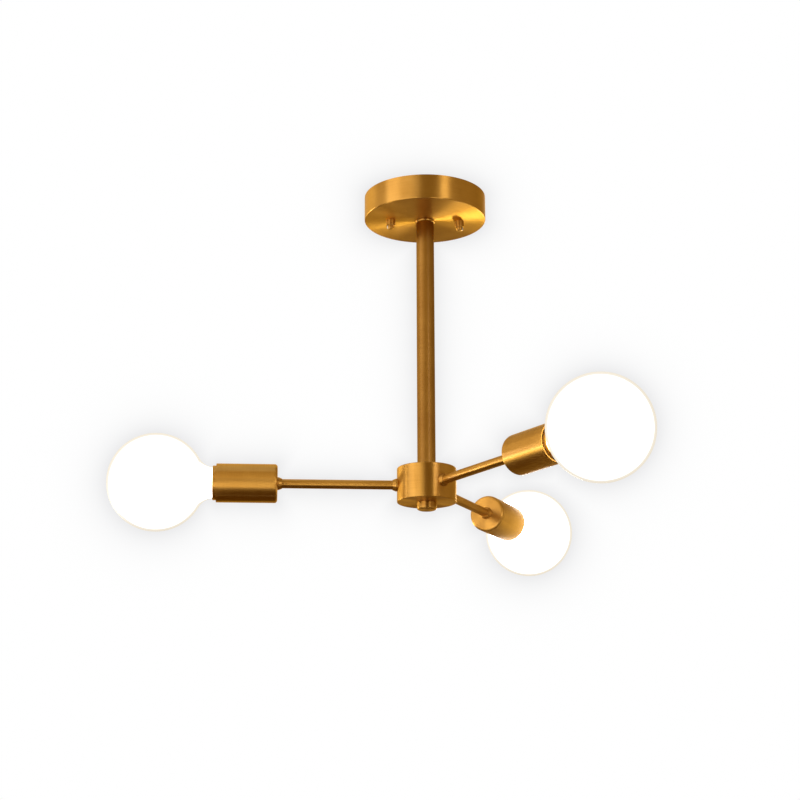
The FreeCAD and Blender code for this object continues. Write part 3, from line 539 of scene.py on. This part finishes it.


# ---- Backdrop
# A white wall close behind the light, which can be looked through from behind.
# It carries a faint painted shadow, a soft grey band round the outline that the photographer sees, strongest at
# the outline.
# The outline is made from the pieces whose names start with one of the words in OUTSIDE.
WALL_BEHIND = 0.33
WALL_HALF = 4.0
SHADOW_OUTLINE_STEP = 0.006
PAINTED_SHADOW_SOFTNESS = 0.017
WHITE = "#FFFFFF"
PAINTED_SHADOW_GREY = "#EBEBEC"
SHADOW_LEFT, SHADOW_RIGHT, SHADOW_COLUMNS = -0.52, 0.52, 180
SHADOW_BOTTOM, SHADOW_TOP, SHADOW_ROWS = -0.67, 0.27, 160
OUTSIDE = ("canopy", "rod", "down", "hub", "finial", "arm", "cup", "socket", "bulb")


def on_wall(point):
    """Where the photographer sees a point against the wall."""
    sight = point - stand
    return stand + sight * ((WALL_BEHIND - stand.y) / sight.y)


def spaced(start, end, steps):
    """Evenly spaced numbers from start to end."""
    return [start + (end - start) * i / steps for i in range(steps + 1)]


seen_edges = []
for name in part:
    if name.split("_")[0] not in OUTSIDE or "lead" in name:
        continue
    corners = [part[name].matrix_world @ v.co for v in part[name].data.vertices]
    for edge in part[name].data.edges:
        a, b = (corners[i] for i in edge.vertices)
        steps = int((b - a).length / SHADOW_OUTLINE_STEP) + 1
        seen_edges += [on_wall(a.lerp(b, k / steps)) for k in range(steps)]
nearest = KDTree(len(seen_edges))
for i, spot in enumerate(seen_edges):
    nearest.insert(spot, i)
nearest.balance()

columns = [-WALL_HALF] + spaced(SHADOW_LEFT, SHADOW_RIGHT, SHADOW_COLUMNS) + [WALL_HALF]
rows = [-WALL_HALF] + spaced(SHADOW_BOTTOM, SHADOW_TOP, SHADOW_ROWS) + [WALL_HALF]
points = [(x, WALL_BEHIND, z) for z in rows for x in columns]
wide = len(columns)
faces = [(i + j * wide, i + 1 + j * wide, i + 1 + (j + 1) * wide, i + (j + 1) * wide)
         for j in range(len(rows) - 1) for i in range(wide - 1)]
# Painted shadow: each point of the wall is greyed by how near it lies to the outline, and the white is mixed
# towards grey there.
white, tree = new_material("white backdrop with a soft painted shadow")
shade = add(tree, "ShaderNodeAttribute", {"attribute_name": "painted_shadow"}).outputs["Fac"]
tone = add(tree, "ShaderNodeMix", {"data_type": "RGBA"}, i0=shade,
           i6=linear(WHITE), i7=linear(PAINTED_SHADOW_GREY)).outputs[2]
glow = add(tree, "ShaderNodeEmission", Color=tone, Strength=1)
clear = add(tree, "ShaderNodeBsdfTransparent")
seen = add(tree, "ShaderNodeLightPath").outputs["Is Camera Ray"]
behind = add(tree, "ShaderNodeNewGeometry").outputs["Backfacing"]
shown = add(tree, "ShaderNodeMath", {"operation": "SUBTRACT", "use_clamp": True},
            i0=seen, i1=behind).outputs[0]
both = add(tree, "ShaderNodeMixShader", i0=shown, i1=clear.outputs[0], i2=glow.outputs[0])
add(tree, "ShaderNodeOutputMaterial", Surface=both.outputs[0])
wall = stage_mesh("backdrop", points, faces, white)
painted_shadow = wall.data.attributes.new("painted_shadow", "FLOAT", "POINT")
painted_shadow.data.foreach_set("value", [math.exp(-nearest.find(p)[2] / PAINTED_SHADOW_SOFTNESS) for p in points])


# ---- Lamps
# Soft lamps round the light: tall ones at the left and at the right for the bands on canopy and hub, low
# ones for the streaks along the arms and cups, and a small one low behind for the fans under the canopy.
LIGHT_MIDDLE = Vector((0, 0, -0.2))
LAMP_DISTANCE = 3.0
LOW_LAMP_PLACE = Vector((0.20, 0.46, -0.28))
CANOPY_FLOOR = Vector((0, 0, -0.025))


def outlook(azimuth, elevation, distance):
    """A point round the light: azimuth 0 is towards the photographer, and a positive one is to the right."""
    a, e = math.radians(azimuth) + EYE_BEARING, math.radians(elevation)
    sight = Vector((math.sin(a) * math.cos(e), -math.cos(a) * math.cos(e), math.sin(e)))
    return LIGHT_MIDDLE + distance * sight


def lamp(name, place, aim, width, height, brightness, spread=180):
    """A rectangular lamp. A brightness of 1 is that of a white surface, and the spread is in degrees."""
    light = bpy.data.lights.new(name, "AREA")
    light.shape = "RECTANGLE"
    light.size, light.size_y = width, height
    light.energy = brightness * math.pi * width * height
    light.spread = math.radians(spread)
    made = bpy.data.objects.new(name, light)
    bpy.context.scene.collection.objects.link(made)
    facing = (aim - place).to_track_quat("-Z", "Y").to_matrix().to_4x4()
    made.matrix_world = Matrix.Translation(place) @ facing
    made.visible_camera = False


for name, azimuth, elevation, width, height, brightness in (
        ("softbox_left", -62, 18, 1.4, 2.2, 2.0),
        ("softbox_front_left", -36, 17, 1.1, 1.8, 0.6),
        ("softbox_behind_left", -121, -12, 1.8, 0.45, 15),
        ("softbox_low_front", -32, -21, 2.2, 1.4, 3.2),
        ("strip_right", 36, 6, 0.7, 1.6, 4)):
    lamp(name, outlook(azimuth, elevation, LAMP_DISTANCE), LIGHT_MIDDLE, width, height, brightness)
lamp("low_lamp_behind", LOW_LAMP_PLACE, CANOPY_FLOOR, 0.08, 0.12, 1.5, spread=40)


# ---- Room
# The sides of the room beyond the lamps, which only reflections show.
# A cream room gives the brass its warm middle tone, and its brown and dark parts give the dark bands.
ROOM_CREAM = "#FFEECE"
ROOM_BROWN = "#B89C50"
ROOM_DARK = "#6E5622"
ROOM_DEEP = "#6A4E1C"
ROOM_PALE = "#C2AC78"
ROOM_BACK = "#9A8450"
ROOM_BACK_LOW = "#D8C080"
ROOM_DISTANCE = LAMP_DISTANCE + 0.3
CREAM_DISTANCE = LAMP_DISTANCE + 0.6
LOW_DISTANCE = 2.0
PATCH_MM = 666.67
SIDE_STEP = 6


def room_side(name, left, right, bottom, top, distance, colour):
    """A side of the room between two azimuths and two elevations, in degrees, with faint patches."""
    material, tree = new_material(name.replace("_", " "))
    where = add(tree, "ShaderNodeTexCoord").outputs["Object"]
    patches = add(tree, "ShaderNodeTexNoise", Vector=where, Scale=1 / (PATCH_MM * MM), Detail=1).outputs["Fac"]
    tone = add(tree, "ShaderNodeMapRange", Value=patches, To_Min=0.8, To_Max=1.2).outputs[0]
    glow = add(tree, "ShaderNodeEmission", Color=linear(colour), Strength=tone)
    add(tree, "ShaderNodeOutputMaterial", Surface=glow.outputs[0])
    columns = spaced(left, right, max(2, round((right - left) / SIDE_STEP)))
    rows = spaced(bottom, top, max(1, round((top - bottom) / SIDE_STEP)))
    points = [outlook(a, e, distance) for a in columns for e in rows]
    tall = len(rows)
    faces = [(i * tall + j, (i + 1) * tall + j, (i + 1) * tall + j + 1, i * tall + j + 1)
             for i in range(len(columns) - 1) for j in range(tall - 1)]
    made = stage_mesh(name, points, faces, material)
    made.visible_camera = False
    made.visible_diffuse = False
    made.visible_shadow = False


room_side("room_all_round", -100, 260, -45, 60, CREAM_DISTANCE, ROOM_CREAM)
room_side("room_by_camera", -20, 30, -32, 14, ROOM_DISTANCE, ROOM_DARK)
room_side("room_above_camera", -10, 30, 14, 62, ROOM_DISTANCE, ROOM_BROWN)
room_side("room_far_right", 48, 150, -14, 56, ROOM_DISTANCE, ROOM_PALE)
room_side("room_behind", 100, 205, -17, -6, ROOM_DISTANCE, ROOM_BACK)
room_side("room_behind_low", 100, 205, -35, -17, ROOM_DISTANCE, ROOM_BACK_LOW)
room_side("room_behind_left", 205, 285, -45, -15, ROOM_DISTANCE, ROOM_DEEP)
room_side("room_floor_in_front", -100, 100, -85, -45, LOW_DISTANCE, ROOM_DEEP)
room_side("room_floor_behind", 100, 260, -85, -35, LOW_DISTANCE, ROOM_DEEP)


# ---- White surround
# A white studio all round, as the picture, metal and glass show it.
# Matt surfaces get a little more than half of that light from it, and the rest from the lamps.
SURROUND = 0.55

world = bpy.data.worlds.new("white studio")
bpy.context.scene.world = world
world.use_nodes = True
tree = world.node_tree
tree.nodes.clear()
path = add(tree, "ShaderNodeLightPath")
seen = add(tree, "ShaderNodeMath", {"operation": "MAXIMUM"}, i0=path.outputs["Is Camera Ray"],
           i1=path.outputs["Is Glossy Ray"]).outputs[0]
seen = add(tree, "ShaderNodeMath", {"operation": "MAXIMUM"}, i0=seen,
           i1=path.outputs["Is Transmission Ray"]).outputs[0]
lit = add(tree, "ShaderNodeBackground", Color=linear(WHITE), Strength=SURROUND)
shown = add(tree, "ShaderNodeBackground", Color=linear(WHITE), Strength=1)
both = add(tree, "ShaderNodeMixShader", i0=seen, i1=lit.outputs[0], i2=shown.outputs[0])
add(tree, "ShaderNodeOutputWorld", Surface=both.outputs[0])


# ---- Tone
# Colours are shown plainly, without a film curve.
bpy.context.scene.view_settings.view_transform = "Standard"
